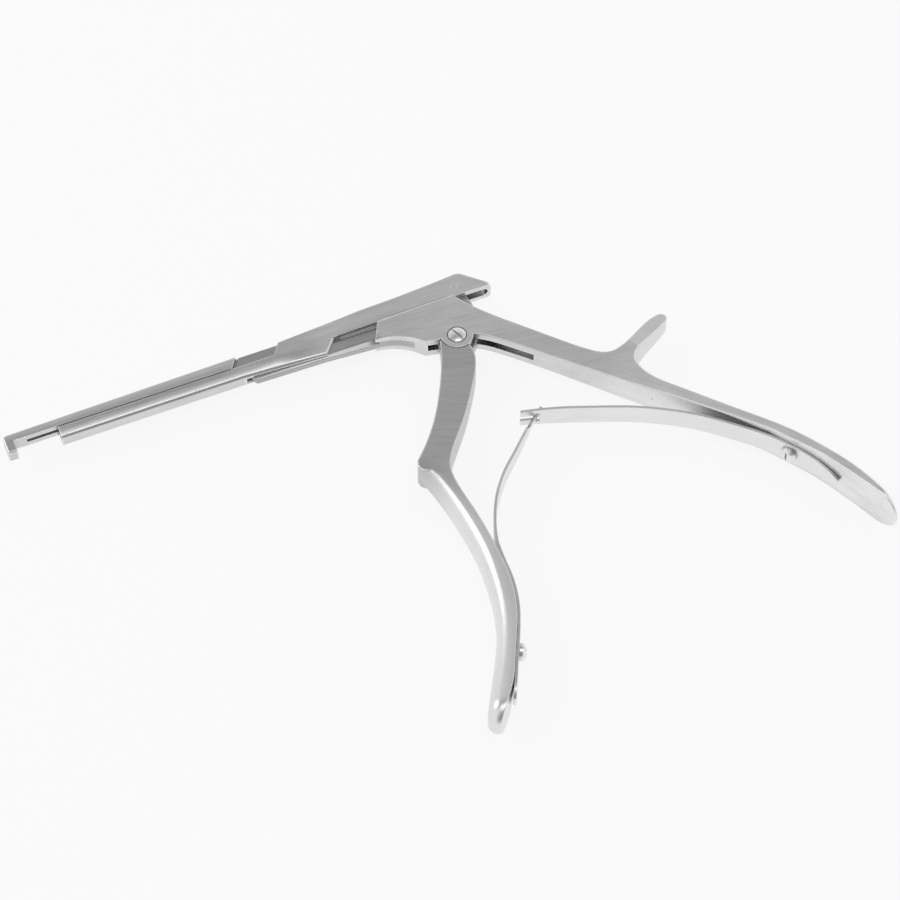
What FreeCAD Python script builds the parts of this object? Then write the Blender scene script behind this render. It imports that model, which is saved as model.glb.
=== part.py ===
import FreeCAD, Part
import math
import os

# Bone punch of the down-biting kind: a fixed shaft with a hook at its tip and the rear
# handle at its other end, a slider that a front handle drives towards the hook, and two
# leaf springs that open the handles.
#
# Working frame of the functions below, in millimetres: the pivot axis is the Z axis,
# X runs along the shaft with the tip towards -X, Y is up from the handles to the shaft,
# and Z = 0 is the middle plane of the instrument. The finished pieces are laid down
# at the end: the middle of the whole box comes to X = Y = 0 and its lowest side to Z = 0.
# The pieces are built with the handles open.

V = FreeCAD.Vector

# Shaft: the fixed bar lies above the slider at the front
SHAFT_HALF = 2.15
TIP_X = -134.5
FOOT_THICK = 2.75
FOOT_BOTTOM_Y = 11.4
TIP_ROUND = 1.3
BAR_BOTTOM_Y = 15.1
BAR_TOP_FRONT_Y = 17.8
BAR_TOP_REAR_Y = 18.9
BAR_END_X = -62.5
END_SLOPE = 0.68

# Web and rail of the fixed shaft, where it crosses down through the slider
WEB_HALF = 0.9
WEB_FRONT_X = -59.4
WEB_BOTTOM_Y = 9.0
WEB_REAR_X = -46.0
SHOULDER_Y = 13.4
RELIEF_WIDTH = 0.7
RELIEF_DEPTH = 0.3

# T-shaped guides: the slider's tongue in the bar, and the body's rail in the slider
NECK_HALF = 0.6
HEAD_HALF = 1.15
NECK_RISE = 1.0
HEAD_RISE = 1.1
RAIL_NECK_RISE = 1.7
GUIDE_CLEARANCE = 0.08
GROOVE_START_X = -128.0

# Slider
SLIDER_FRONT_X = -118.5
SLIDER_BOTTOM_Y = 10.65
CHEEK_BOTTOM_Y = 9.35
CHEEK_END_X = -33.2
STEP_X = -49.3
SLIDER_REAR_HALF = 2.85
TONGUE_START_X = -114.9
TAIL_X = 17.1
TAIL_ROUND = 1.2
PEAK_X = 10.4
PEAK_Y = 22.05
CUP_DEPTH = 4.0
CUP_RADIUS = 1.3

# Body
BODY_TOP_Y = 14.3
BODY_FRONT_X = -19.5
BODY_REAR_X = 4.6
BODY_HALF = 3.7
FLARE_START_X = -37.0
FLARE_END_X = 1.5
SCALLOP_FRONT = (-22.7, 8.1)
SCALLOP_MIDDLE = (-15.4, 6.2)
NOSE = (-9.6, 1.35)
EAR_RADIUS = 4.8
EAR_END_ANGLE = -18.0
EAR_CLEARANCE = 0.2
HUB_RADIUS = 6.0

# Drive: the tang of the front handle and the cross pin in the slider
TRAVEL = 12.9
PIN_Y = 17.8
PIN_RADIUS = 1.0
PIN_PLAY = 0.12
TANG_HALF = 1.22
TANG_REACH = 20.3
TANG_SLOT_HALF = 1.34
FORK_BOTTOM_RADIUS = 16.6

# Pivot screw
SCREW_SHANK = 1.5
SCREW_HEAD = 2.65
SCREW_SUNK = 1.1
DOME_RISE = 0.55
DRIVE_SLOT_WIDTH = 0.7
DRIVE_SLOT_DEPTH = 0.6
PIVOT_SLOT_ANGLE = -70.0
RUNNING = 0.03

# Rear handle
REAR_ANGLE = -50.0
REAR_PADDLE_HALF = 6.8
REAR_PADDLE_CENTRE = 132.0
REAR_PADDLE_TIP = 7.4
REAR_BACK_EDGE = 0.8
REAR_STRAIGHT = 28.0
SPUR_TIP = (58.1, -15.6)
SPUR_ANGLE = 37.0
SPUR_ROOT = 20.0
SPUR_ROOT_HALF = 4.6
SPUR_END_HALF = 2.6
SPUR_LENGTH = 18.0
DIMPLE = (43.9, -41.5)
DIMPLE_RADIUS = 0.6

# Front handle
FRONT_ANGLE = -100.0
FRONT_STRAIGHT = 12.0
FRONT_TOP_HALF = 3.85
FRONT_PADDLE_HALF = 6.2
FRONT_PADDLE_CENTRE = 125.2
FRONT_PADDLE_TIP = 6.2
FRONT_ROUND = 2.8

# Leaf springs: a straight clamped stretch on the handle, then a free arch
LEAF_HALF = 3.5
LEAF_THICK = 0.9
LEAF_GAP = 0.05
FORK_SLOT_HALF = 1.0
FORK_SLOT_LENGTH = 5.7
FORK_POCKET_HALF = 1.9
FORK_POCKET_LENGTH = 1.3
TONGUE_HALF = 0.82
LEAF_SCREW_HEAD = 2.5
LEAF_SCREW_RISE = 2.1
LEAF_SCREW_SHANK = 1.2
LEAF_SCREW_LENGTH = 2.4
REAR_SEAT = ((68.2, -67.7), (75.9, -78.9))
REAR_SCREW_SHARE = 0.56
FRONT_SEAT = ((-31.2, -112.9), (-24.6, -99.6))
FRONT_SCREW_SHARE = 0.59

# Edges
SHAFT_EDGE = 0.5
HANDLE_EDGE = 0.3
NOSE_ROUND = 1.1
FINE_EDGE = 0.25
OUTSIDE = 40.0

# The stroke: the pin stands as far behind the pivot when open as before it when closed
HALF_STROKE = TRAVEL / 2
CLOSING_ANGLE = 2 * math.degrees(math.atan2(HALF_STROKE, PIN_Y))
FOOT_INNER_X = TIP_X + FOOT_THICK
BAR_RISE = (BAR_TOP_REAR_Y - BAR_TOP_FRONT_Y) / (BAR_END_X - TIP_X)
BAR_END_LOW_X = BAR_END_X - END_SLOPE * (BAR_TOP_REAR_Y - BAR_BOTTOM_Y)


def bar_top(x):
    return BAR_TOP_FRONT_Y + BAR_RISE * (x - TIP_X)


def line(a, b):
    return Part.makeLine(V(*a, 0), V(*b, 0))


def chain(points):
    """Straight edges from point to point, on the plane Z = 0."""
    return [line(a, b) for a, b in zip(points, points[1:])]


def chain3(points):
    """Closed straight outline in the XZ plane."""
    closed = points + points[:1]
    return [Part.makeLine(V(a[0], 0, a[1]), V(b[0], 0, b[1])) for a, b in zip(closed, closed[1:])]


def smooth(points):
    """One smooth edge through the points, on the plane Z = 0."""
    curve = Part.BSplineCurve()
    curve.interpolate(Points=[V(x, y, 0) for x, y in points])
    return curve.toShape()


def arc(a, middle, b):
    return Part.Arc(V(*a, 0), V(*middle, 0), V(*b, 0)).toShape()


def plate(edges, low, high):
    """A plate with this outline, from Z = low to Z = high."""
    face = Part.Face(Part.Wire(Part.__sortEdges__(edges)))
    face.translate(V(0, 0, low))
    return face.extrude(V(0, 0, high - low))


def polygon(points, low, high):
    return plate(chain(points + points[:1]), low, high)


def slab(x1, x2, y1, y2, half):
    """A box that is the same on both sides of Z = 0."""
    return Part.makeBox(x2 - x1, y2 - y1, 2 * half, V(x1, y1, -half))


def rod(radius, low, high, x=0.0, y=0.0):
    return Part.makeCylinder(radius, high - low, V(x, y, low))


def on_circle(radius, degrees):
    turn = math.radians(degrees)
    return (radius * math.cos(turn), radius * math.sin(turn))


def between(a, b, share):
    return (a[0] + share * (b[0] - a[0]), a[1] + share * (b[1] - a[1]))


def shifted(point, direction, distance):
    return (point[0] + distance * direction[0], point[1] + distance * direction[1])


def heading(a, b):
    length = math.hypot(b[0] - a[0], b[1] - a[1])
    return ((b[0] - a[0]) / length, (b[1] - a[1]) / length)


def right_of(direction):
    return (direction[1], -direction[0])


def one_solid(shape):
    clean = shape.removeSplitter()
    return clean.Solids[0] if len(clean.Solids) == 1 else clean


def through_all(edges):
    """The outline in the XZ plane, extruded through all of Y."""
    face = Part.Face(Part.Wire(Part.__sortEdges__(edges)))
    face.translate(V(0, -4 * OUTSIDE, 0))
    return face.extrude(V(0, 8 * OUTSIDE, 0))


def flared_width(start_x, start_half, end_x, end_half):
    """A solid through all of Y: it keeps one half-width up to one X and another from a later X on."""
    front, rear = start_x - 8 * OUTSIDE, end_x + 8 * OUTSIDE
    flare = Part.BSplineCurve()
    flare.interpolate(Points=[V(start_x, 0, start_half), V(end_x, 0, end_half)],
                      InitialTangent=V(1, 0, 0), FinalTangent=V(1, 0, 0))
    upper = [Part.makeLine(V(front, 0, start_half), V(start_x, 0, start_half)), flare.toShape(),
             Part.makeLine(V(end_x, 0, end_half), V(rear, 0, end_half))]
    lower = [edge.mirror(V(0, 0, 0), V(0, 0, 1)) for edge in upper]
    ends = [Part.makeLine(V(front, 0, -start_half), V(front, 0, start_half)),
            Part.makeLine(V(rear, 0, -end_half), V(rear, 0, end_half))]
    return through_all(upper + lower + ends)


def half_oval(centre, half, tip, turn):
    """The rounded end of a handle's width, as far round as this angle on both sides."""
    if tip < half + 0.01:
        side = V(centre + tip * math.cos(turn), 0, half * math.sin(turn))
        return Part.Arc(side, V(centre + tip, 0, 0), V(side.x, 0, -side.z)).toShape()
    oval = Part.Ellipse(V(centre + tip, 0, 0), V(centre, 0, half), V(centre, 0, 0))
    return Part.ArcOfEllipse(oval, -turn, turn).toShape()


def paddle_width(straight_end, straight_half, centre, half, tip, turn):
    """The width of a handle: straight from the pivot, then an even flare that ends in a half oval."""
    reach = (centre - straight_end) * half / tip
    flare = math.asin(half / math.hypot(reach, straight_half)) - math.atan2(straight_half, reach)
    touch = (centre - tip * math.sin(flare), half * math.cos(flare))
    stations = [(straight_end - 2 * OUTSIDE, straight_half), (straight_end, straight_half), touch]
    upper = [Part.makeLine(V(a[0], 0, a[1]), V(b[0], 0, b[1])) for a, b in zip(stations, stations[1:])]
    lower = [edge.mirror(V(0, 0, 0), V(0, 0, 1)) for edge in upper]
    cap = half_oval(centre, half, tip, math.pi / 2 + flare)
    start = Part.makeLine(V(stations[0][0], 0, -straight_half), V(stations[0][0], 0, straight_half))
    solid = through_all(upper + lower + [cap, start])
    solid.rotate(V(0, 0, 0), V(0, 0, 1), turn)
    return solid


def spur_sides():
    """What is ground off both sides of the thumb spur, so that it narrows towards its tip."""
    end = SPUR_ROOT + SPUR_LENGTH
    slope = (SPUR_ROOT_HALF - SPUR_END_HALF) / SPUR_LENGTH
    far_end = end + OUTSIDE
    far_half = SPUR_END_HALF - slope * 4.0
    outline = [(SPUR_ROOT, SPUR_ROOT_HALF), (end, SPUR_END_HALF), (end + 4.0, far_half), (far_end, far_half),
               (far_end, OUTSIDE), (SPUR_ROOT, OUTSIDE)]
    side = through_all(chain3(outline))
    side.rotate(V(0, 0, 0), V(0, 0, 1), SPUR_ANGLE)
    return side, side.mirror(V(0, 0, 0), V(0, 0, 1))


def edges_in(shape, low_x, high_x, low_y, high_y, across=False):
    """Edges inside this window of the XY plane: those along the sides, or those across in Z."""
    found = []
    for edge in shape.Edges:
        box = edge.BoundBox
        inside = box.XMin > low_x and box.XMax < high_x and box.YMin > low_y and box.YMax < high_y
        flat = box.ZLength < 0.3 * box.DiagonalLength
        if inside and (not flat if across else flat and box.ZMin * box.ZMax > 0):
            found.append(edge)
    return found


def rounded(shape, radius, edges):
    return shape.makeFillet(radius, edges) if edges else shape


def rim_edges(shape, wanted):
    """Edges along the sides whose middle lies in the wanted part of the outline."""
    found = []
    for edge in shape.Edges:
        box = edge.BoundBox
        middle = edge.valueAt((edge.FirstParameter + edge.LastParameter) / 2)
        if box.ZLength < 0.95 * box.DiagonalLength and wanted(middle):
            found.append(edge)
    return found


def beside(point, middle):
    """How far in X a point lies from a line down the middle of a handle."""
    for (high_x, high_y), (low_x, low_y) in zip(middle, middle[1:]):
        if low_y <= point.y < high_y:
            return point.x - high_x - (high_y - point.y) / (high_y - low_y) * (low_x - high_x)
    return 0.0


def rear_beside(point):
    return beside(point, [(27.3, -19.1), (50.3, -44.8), (57.5, -52.9), (65.0, -61.4), (73.3, -72.0),
                          (78.0, -79.1), (84.6, -92.5), (87.8, -103.0), (89.0, -112.0)])


def front_beside(point):
    return beside(point, [(-1.5, -6.0), (-8.5, -21.5), (-19.0, -35.0), (-24.5, -41.0), (-22.5, -65.0),
                          (-23.0, -84.0), (-26.5, -97.0), (-34.8, -113.0), (-48.0, -135.0)])


def rear_outer_rim(point):
    """The back of the rear handle, below the spur."""
    return rear_beside(point) > 0.6 and point.y < -37


def rear_inner_rim(point):
    return rear_beside(point) < -0.6


def front_outer_rim(point):
    """The front of the front handle, below the knee."""
    return front_beside(point) < -0.6 and point.y < -41


def fixed_bar():
    """The upper bar with the hook at its tip and the T-groove in its underside."""
    outline = [
        (TIP_X, FOOT_BOTTOM_Y),
        (TIP_X, bar_top(TIP_X)),
        (BAR_END_X, BAR_TOP_REAR_Y),
        (BAR_END_LOW_X, BAR_BOTTOM_Y),
        (FOOT_INNER_X, BAR_BOTTOM_Y),
        (FOOT_INNER_X, FOOT_BOTTOM_Y),
    ]
    bar = polygon(outline, -SHAFT_HALF, SHAFT_HALF)
    tip = edges_in(bar, TIP_X - 1, TIP_X + 1, BAR_BOTTOM_Y, BAR_TOP_REAR_Y, across=True)
    bar = rounded(bar, TIP_ROUND, tip)
    inner = edges_in(bar, FOOT_INNER_X - 0.1, FOOT_INNER_X + 0.1, BAR_BOTTOM_Y - 0.1, BAR_TOP_REAR_Y, across=True)
    bar = rounded(bar, FINE_EDGE, inner)
    bar = rounded(bar, SHAFT_EDGE, edges_in(bar, TIP_X - 1, BAR_END_X + 0.1, BAR_BOTTOM_Y + 0.2, 100))
    bar = rounded(bar, SHAFT_EDGE, edges_in(bar, TIP_X - 1, FOOT_INNER_X + 0.1, 0, FOOT_BOTTOM_Y + 0.1))
    neck_top = BAR_BOTTOM_Y + NECK_RISE - GUIDE_CLEARANCE
    head_top = BAR_BOTTOM_Y + NECK_RISE + HEAD_RISE + GUIDE_CLEARANCE
    end = BAR_END_LOW_X + GUIDE_CLEARANCE
    neck = slab(GROOVE_START_X, end, BAR_BOTTOM_Y - 1, head_top, NECK_HALF + GUIDE_CLEARANCE)
    head = slab(GROOVE_START_X, end, neck_top, head_top, HEAD_HALF + GUIDE_CLEARANCE)
    return bar.cut(neck).cut(head)


def fixed_web():
    """The thin web that carries the bar down to the body, and the T-rail behind it."""
    front_low = (WEB_FRONT_X, WEB_BOTTOM_Y + 0.2)
    outline = [
        (BAR_END_LOW_X + 0.3, BAR_BOTTOM_Y),
        (BAR_END_X - 0.4, BAR_TOP_REAR_Y - 0.1),
        (BAR_END_X + 1.0, BAR_TOP_REAR_Y + 0.05),
        (WEB_REAR_X, BAR_TOP_REAR_Y + 0.05),
        (WEB_REAR_X, SHOULDER_Y),
        (BODY_FRONT_X + 1.0, SHOULDER_Y),
        (SCALLOP_FRONT[0] + 1.0, SCALLOP_FRONT[1] - 0.5),
        (CHEEK_END_X - 4.0, WEB_BOTTOM_Y - 0.3),
        front_low,
        (BAR_END_LOW_X + 1.6, BAR_BOTTOM_Y),
    ]
    web = polygon(outline, -WEB_HALF, WEB_HALF)
    relief = [
        (BAR_END_LOW_X + 0.1, BAR_BOTTOM_Y),
        (BAR_END_X + 0.1 + END_SLOPE, BAR_TOP_REAR_Y + 1),
        (BAR_END_X + 0.1 + END_SLOPE + RELIEF_WIDTH, BAR_TOP_REAR_Y + 1),
        (BAR_END_LOW_X + 0.1 + RELIEF_WIDTH, BAR_BOTTOM_Y),
    ]
    inner = WEB_HALF - RELIEF_DEPTH
    web = web.cut(polygon(relief, inner, OUTSIDE)).cut(polygon(relief, -OUTSIDE, -inner))
    rail_end = BODY_FRONT_X + 9.0
    head_low = BODY_TOP_Y + RAIL_NECK_RISE
    neck = slab(WEB_REAR_X - 0.5, rail_end, SHOULDER_Y - 0.5, head_low + 0.5, NECK_HALF)
    head = slab(WEB_REAR_X - 0.5, rail_end, head_low, head_low + HEAD_RISE, HEAD_HALF)
    return web.fuse([neck, head])


def rear_inner_side():
    """The rear handle's side that faces the front handle, from its end up to the ear."""
    low_seat, high_seat = REAR_SEAT[1], REAR_SEAT[0]
    ear = on_circle(EAR_RADIUS, EAR_END_ANGLE)
    lower = smooth([(89.5, -112.5), (87.4, -103.2), (83.2, -93.1), (79.85, -86.0), (77.75, -82.05), low_seat])
    upper = smooth([high_seat, (63.9, -62.9), (56.4, -54.6), (48.7, -46.3), (42.3, -39.8), (34.8, -31.8)])
    near_ear = smooth([(34.8, -31.8), (28.0, -24.4), (21.5, -17.4), (16.3, -11.9), (12.3, -7.8), (9.0, -4.6), ear])
    return [lower, line(low_seat, high_seat), upper, near_ear]


def rear_profile():
    """Outline of the body and the rear handle with its thumb spur."""
    ear_right = on_circle(EAR_RADIUS, EAR_END_ANGLE)
    ear_left = on_circle(EAR_RADIUS, 176)
    top_rear = (BODY_REAR_X, BODY_TOP_Y)
    spur_low = (58.96, -18.75)
    edges = chain([SCALLOP_FRONT, (BODY_FRONT_X, BODY_TOP_Y), top_rear])
    edges.append(smooth([top_rear, (8.7, 7.8), (18.5, -3.9), (28.9, -15.6), (33.9, -20.9), (38.3, -23.5),
                         (42.8, -22.9), (49.3, -19.5), SPUR_TIP]))
    edges.append(arc(SPUR_TIP, (59.96, -16.9), spur_low))
    edges.append(smooth([spur_low, (52.1, -22.6), (47.9, -25.3), (45.0, -28.2), (44.9, -32.4), (47.4, -37.6),
                         (52.0, -43.3), (58.6, -51.2), (66.0, -59.9), (73.5, -69.0), (80.1, -79.4),
                         (85.7, -91.1), (89.1, -102.8), (91.5, -112.5)]))
    edges.append(line((91.5, -112.5), (89.5, -112.5)))
    edges += rear_inner_side()
    edges.append(arc(ear_right, on_circle(EAR_RADIUS, -100), ear_left))
    edges.append(line(ear_left, NOSE))
    edges.append(arc(NOSE, SCALLOP_MIDDLE, SCALLOP_FRONT))
    return edges


def tang_slot():
    """The slot through the body in which the tang swings, with its run-out under the handle."""
    along = (math.cos(math.radians(REAR_ANGLE)), math.sin(math.radians(REAR_ANGLE)))
    inward = (-along[1], along[0])
    slot_end = shifted((18.4, -14.2), inward, -6.0)
    floor_end = shifted(slot_end, inward, 8.6)
    front_low = (NOSE[0] + 0.9, 0.0)
    rear_top = (10.1, 6.0)
    outline = chain([floor_end, slot_end, (front_low[0], -8.0), front_low, (-10.7, BODY_TOP_Y + 6),
                     (rear_top[0], BODY_TOP_Y + 6), rear_top])
    outline.append(arc(rear_top, (13.0, -3.6), floor_end))
    return plate(outline, -TANG_SLOT_HALF, TANG_SLOT_HALF)


def dimple():
    """The small conical test mark in the inner side of the rear handle."""
    inward = V(math.cos(math.radians(REAR_ANGLE + 90)), math.sin(math.radians(REAR_ANGLE + 90)), 0)
    start = V(*DIMPLE, 0) - inward * DIMPLE_RADIUS
    return Part.makeCone(1.6 * DIMPLE_RADIUS, 0, 1.6 * DIMPLE_RADIUS, start, inward)


def fixed_frame():
    """Bar, web, body and rear handle: one forging."""
    body_width = flared_width(FLARE_START_X, SHAFT_HALF, FLARE_END_X, BODY_HALF)
    handle_width = paddle_width(REAR_STRAIGHT, BODY_HALF, REAR_PADDLE_CENTRE, REAR_PADDLE_HALF,
                                REAR_PADDLE_TIP, REAR_ANGLE)
    profile = plate(rear_profile(), -OUTSIDE / 2, OUTSIDE / 2)
    split = EAR_RADIUS + EAR_CLEARANCE
    front_part = Part.makeBox(8 * OUTSIDE, 8 * OUTSIDE, OUTSIDE, V(split - 8 * OUTSIDE, -4 * OUTSIDE, -OUTSIDE / 2))
    front_part.rotate(V(0, 0, 0), V(0, 0, 1), REAR_ANGLE)
    body = one_solid(profile.common(front_part).common(body_width))
    nose = edges_in(body, NOSE[0] - 0.1, NOSE[0] + 0.1, NOSE[1] - 0.1, NOSE[1] + 0.1, across=True)
    body = rounded(body, NOSE_ROUND, nose)
    handle = one_solid(profile.cut(front_part).common(handle_width))
    handle = handle.makeChamfer(HANDLE_EDGE, rim_edges(handle, rear_inner_rim))
    handle = handle.makeChamfer(REAR_BACK_EDGE, rim_edges(handle, rear_outer_rim))
    handle = handle.cut(spur_sides())
    handle = handle.cut(leaf_screw_hole(*rear_screw_place()))
    handle = handle.cut(dimple())
    frame = body.fuse(handle).cut(tang_slot()).fuse([fixed_web(), fixed_bar()])
    frame = frame.cut(rod(SCREW_SHANK + RUNNING / 2, -OUTSIDE / 2, OUTSIDE / 2))
    frame = frame.cut(rod(SCREW_HEAD + 2 * RUNNING, BODY_HALF - SCREW_SUNK, OUTSIDE / 2))
    return one_solid(frame)


def slider_profile():
    """Outline of the slider seen from the side."""
    play = GUIDE_CLEARANCE
    step_low_x = STEP_X - END_SLOPE * (BAR_TOP_REAR_Y - BAR_BOTTOM_Y)
    cheek_low_x = CHEEK_END_X - 4.2
    front = [
        (SLIDER_FRONT_X, BAR_BOTTOM_Y - play),
        (step_low_x, BAR_BOTTOM_Y - play),
        (STEP_X, BAR_TOP_REAR_Y),
    ]
    tail_top = (TAIL_X - 0.6, BODY_TOP_Y + 1.1)
    edges = chain(front)
    edges.append(smooth([(STEP_X, BAR_TOP_REAR_Y), (-40.0, 19.55), (-26.0, 20.2), (-12.0, 20.65),
                         (0.4, 21.4), (PEAK_X - 2.3, PEAK_Y)]))
    edges.append(arc((PEAK_X - 2.3, PEAK_Y), (PEAK_X - 0.6, PEAK_Y - 0.3), (PEAK_X + 0.5, PEAK_Y - 1.2)))
    edges += chain([(PEAK_X + 0.5, PEAK_Y - 1.2), tail_top, (TAIL_X, BODY_TOP_Y + 0.7),
                    (TAIL_X, BODY_TOP_Y + play), (CHEEK_END_X, BODY_TOP_Y + play),
                    (cheek_low_x, CHEEK_BOTTOM_Y), (BAR_END_X, SLIDER_BOTTOM_Y),
                    (SLIDER_FRONT_X - 0.25, SLIDER_BOTTOM_Y), (SLIDER_FRONT_X, BAR_BOTTOM_Y - play)])
    return edges


def slider():
    """The moving shaft: jaw and tongue in front, cheeks astride the web, drive slot in its tail."""
    width = flared_width(FLARE_START_X, SHAFT_HALF, BODY_FRONT_X, SLIDER_REAR_HALF)
    solid = plate(slider_profile(), -OUTSIDE / 2, OUTSIDE / 2).common(width)
    bottom = edges_in(solid, SLIDER_FRONT_X - 1, CHEEK_END_X + 1, 0, SLIDER_BOTTOM_Y + 0.1)
    solid = rounded(solid, 2 * SHAFT_EDGE, bottom)
    tail = slab(SLIDER_FRONT_X - OUTSIDE, TAIL_X, 0, OUTSIDE, SLIDER_REAR_HALF)
    corners = edges_in(tail, TAIL_X - 0.1, TAIL_X + 0.1, -1, OUTSIDE + 1)
    solid = solid.common(rounded(tail, TAIL_ROUND, corners))

    tongue_end = BAR_END_LOW_X - 0.3
    neck_top = BAR_BOTTOM_Y + NECK_RISE
    tongue = slab(TONGUE_START_X, tongue_end, SLIDER_BOTTOM_Y + 2, neck_top + 0.3, NECK_HALF)
    tongue_head = slab(TONGUE_START_X, tongue_end, neck_top, neck_top + HEAD_RISE, HEAD_HALF)

    slot_half = WEB_HALF + GUIDE_CLEARANCE
    wall_low = WEB_FRONT_X - 2.0
    wall_high = wall_low - 3.2
    slot_rear = WEB_REAR_X + TRAVEL + 0.3
    web_slot = polygon([(wall_low, 0), (wall_low, CHEEK_BOTTOM_Y), (wall_high, BAR_BOTTOM_Y),
                        (wall_high, 30), (slot_rear, 30), (slot_rear, 0)], -slot_half, slot_half)
    head_low = BODY_TOP_Y + RAIL_NECK_RISE
    rail_neck = slab(slot_rear - 1, 3.0, 0, head_low + 0.5, NECK_HALF + GUIDE_CLEARANCE)
    rail_head = slab(STEP_X - 3.5, 3.0, head_low - GUIDE_CLEARANCE, head_low + HEAD_RISE + GUIDE_CLEARANCE,
                     HEAD_HALF + GUIDE_CLEARANCE)
    solid = solid.fuse([tongue, tongue_head]).cut(web_slot).cut(rail_neck).cut(rail_head)
    solid = solid.cut(drive_slot())
    solid = solid.cut(rod(PIN_RADIUS + RUNNING / 2, -OUTSIDE, OUTSIDE, HALF_STROKE, PIN_Y))
    cup = Part.makeCylinder(CUP_RADIUS, CUP_DEPTH + 1, V(SLIDER_FRONT_X - 1, 12.7, 0), V(1, 0, 0))
    return one_solid(solid.cut(cup))


def drive_slot():
    """The slot in the tail's underside for the tang, with rounded ends."""
    half = TANG_SLOT_HALF
    low_x, high_x = HALF_STROKE - 6.2, TAIL_X - 1.0
    roof = TANG_REACH + 0.25
    height = roof - BODY_TOP_Y + 1
    slot = slab(low_x, high_x - half, BODY_TOP_Y - 1, roof, half)
    end = Part.makeCylinder(half, height, V(high_x - half, BODY_TOP_Y - 1, 0), V(0, 1, 0))
    return slot.fuse(end)


def tang():
    """Hub and forked tang of the front handle, between the ears of the body."""
    fork_rear = on_circle(TANG_REACH, math.degrees(math.atan2(17.9, 9.4)))
    front_top = on_circle(TANG_REACH, math.degrees(math.atan2(19.9, 3.4)))
    outline = chain([(-5.0, -3.2), (-5.0, 3.0), (-1.6, 8.0), (2.9, 16.4), front_top])
    outline.append(arc(front_top, on_circle(TANG_REACH, math.degrees(math.atan2(PIN_Y, HALF_STROKE))), fork_rear))
    outline += chain([fork_rear, (8.9, 15.2), (9.5, 10.5), (7.6, 4.0), (5.2, -2.0), (0.0, -5.6), (-5.0, -3.2)])
    solid = plate(outline, -TANG_HALF, TANG_HALF).fuse(rod(HUB_RADIUS, -TANG_HALF, TANG_HALF))
    fork = slab(FORK_BOTTOM_RADIUS, TANG_REACH + 2, -PIN_RADIUS - PIN_PLAY, PIN_RADIUS + PIN_PLAY, OUTSIDE)
    floor = rod(PIN_RADIUS + PIN_PLAY, -OUTSIDE, OUTSIDE, FORK_BOTTOM_RADIUS)
    fork = fork.fuse(floor)
    fork.rotate(V(0, 0, 0), V(0, 0, 1), 90.0 - CLOSING_ANGLE / 2)
    return solid.cut(fork)


def front_rear_side():
    """The front handle's side that faces the rear handle, from its end up to the ear."""
    low_seat, high_seat = FRONT_SEAT
    lower = smooth([(-44.0, -130.0), (-38.2, -122.8), (-34.5, -118.1), low_seat])
    upper = smooth([high_seat, (-22.0, -92.9), (-20.3, -85.0), (-19.8, -77.5), (-19.75, -70.0), (-20.2, -60.5),
                    (-21.1, -50.0), (-20.4, -43.2), (-16.3, -36.6), (-10.2, -29.2), (-2.6, -18.2),
                    (1.1, -11.5), (2.1, -7.6), on_circle(EAR_RADIUS + EAR_CLEARANCE, -69)])
    return [lower, line(low_seat, high_seat), upper]


def front_profile():
    """Outline of the front handle below the ear, seen from the side."""
    radius = EAR_RADIUS + EAR_CLEARANCE
    horn = on_circle(radius, 184)
    horn_top = (-5.7, -0.45)
    knee_top = (-27.9, -37.7)
    knee_low = (-28.7, -41.0)
    edges = [line(horn, horn_top)]
    edges.append(smooth([horn_top, (-7.4, -5.5), (-10.5, -12.4), (-14.1, -19.3), (-18.3, -26.2), (-22.5, -31.8),
                         knee_top]))
    edges.append(arc(knee_top, (-28.9, -39.3), knee_low))
    edges.append(smooth([knee_low, (-27.2, -47.5), (-26.0, -55.5), (-25.2, -65.0), (-25.1, -74.0),
                         (-26.3, -84.5), (-29.3, -96.3), (-33.3, -105.0), (-38.3, -113.8), (-43.6, -122.9),
                         (-47.0, -128.6)]))
    edges.append(line((-47.0, -128.6), (-44.0, -130.0)))
    edges += front_rear_side()
    edges.append(arc(on_circle(radius, -69), on_circle(radius, -120), horn))
    return edges


def front_handle():
    """The lever: hub and tang above, finger handle with its knee below."""
    grip = plate(front_profile(), -OUTSIDE / 2, OUTSIDE / 2)
    grip = grip.common(paddle_width(FRONT_STRAIGHT, FRONT_TOP_HALF, FRONT_PADDLE_CENTRE, FRONT_PADDLE_HALF,
                                    FRONT_PADDLE_TIP, FRONT_ANGLE))
    grip = rounded(grip, FRONT_ROUND, rim_edges(grip, front_outer_rim))
    grip = grip.cut(leaf_screw_hole(*front_screw_place()))
    solid = grip.fuse(tang())
    solid = solid.cut(rod(SCREW_SHANK + RUNNING, -OUTSIDE, OUTSIDE))
    return one_solid(solid)


def domed_head(radius, height, rise, slot_angle):
    """A slotted screw head: its underside at Z = 0, its dome towards +Z."""
    sphere_radius = (radius ** 2 + rise ** 2) / (2 * rise)
    ball = Part.makeSphere(sphere_radius, V(0, 0, height + rise - sphere_radius))
    head = rod(radius, 0, height + rise).common(ball)
    slot = slab(-2 * radius, 2 * radius, -DRIVE_SLOT_WIDTH / 2, DRIVE_SLOT_WIDTH / 2, OUTSIDE)
    slot.translate(V(0, 0, OUTSIDE + height + rise - DRIVE_SLOT_DEPTH))
    slot.rotate(V(0, 0, 0), V(0, 0, 1), slot_angle)
    return head.cut(slot)


def pivot_screw():
    """Slotted screw with its head sunk in the near ear and its end flush with the far ear."""
    head = domed_head(SCREW_HEAD, SCREW_SUNK, DOME_RISE, PIVOT_SLOT_ANGLE)
    head.translate(V(0, 0, BODY_HALF - SCREW_SUNK))
    shank = rod(SCREW_SHANK, -BODY_HALF, BODY_HALF - SCREW_SUNK + 0.5)
    return one_solid(head.fuse(shank))


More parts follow.
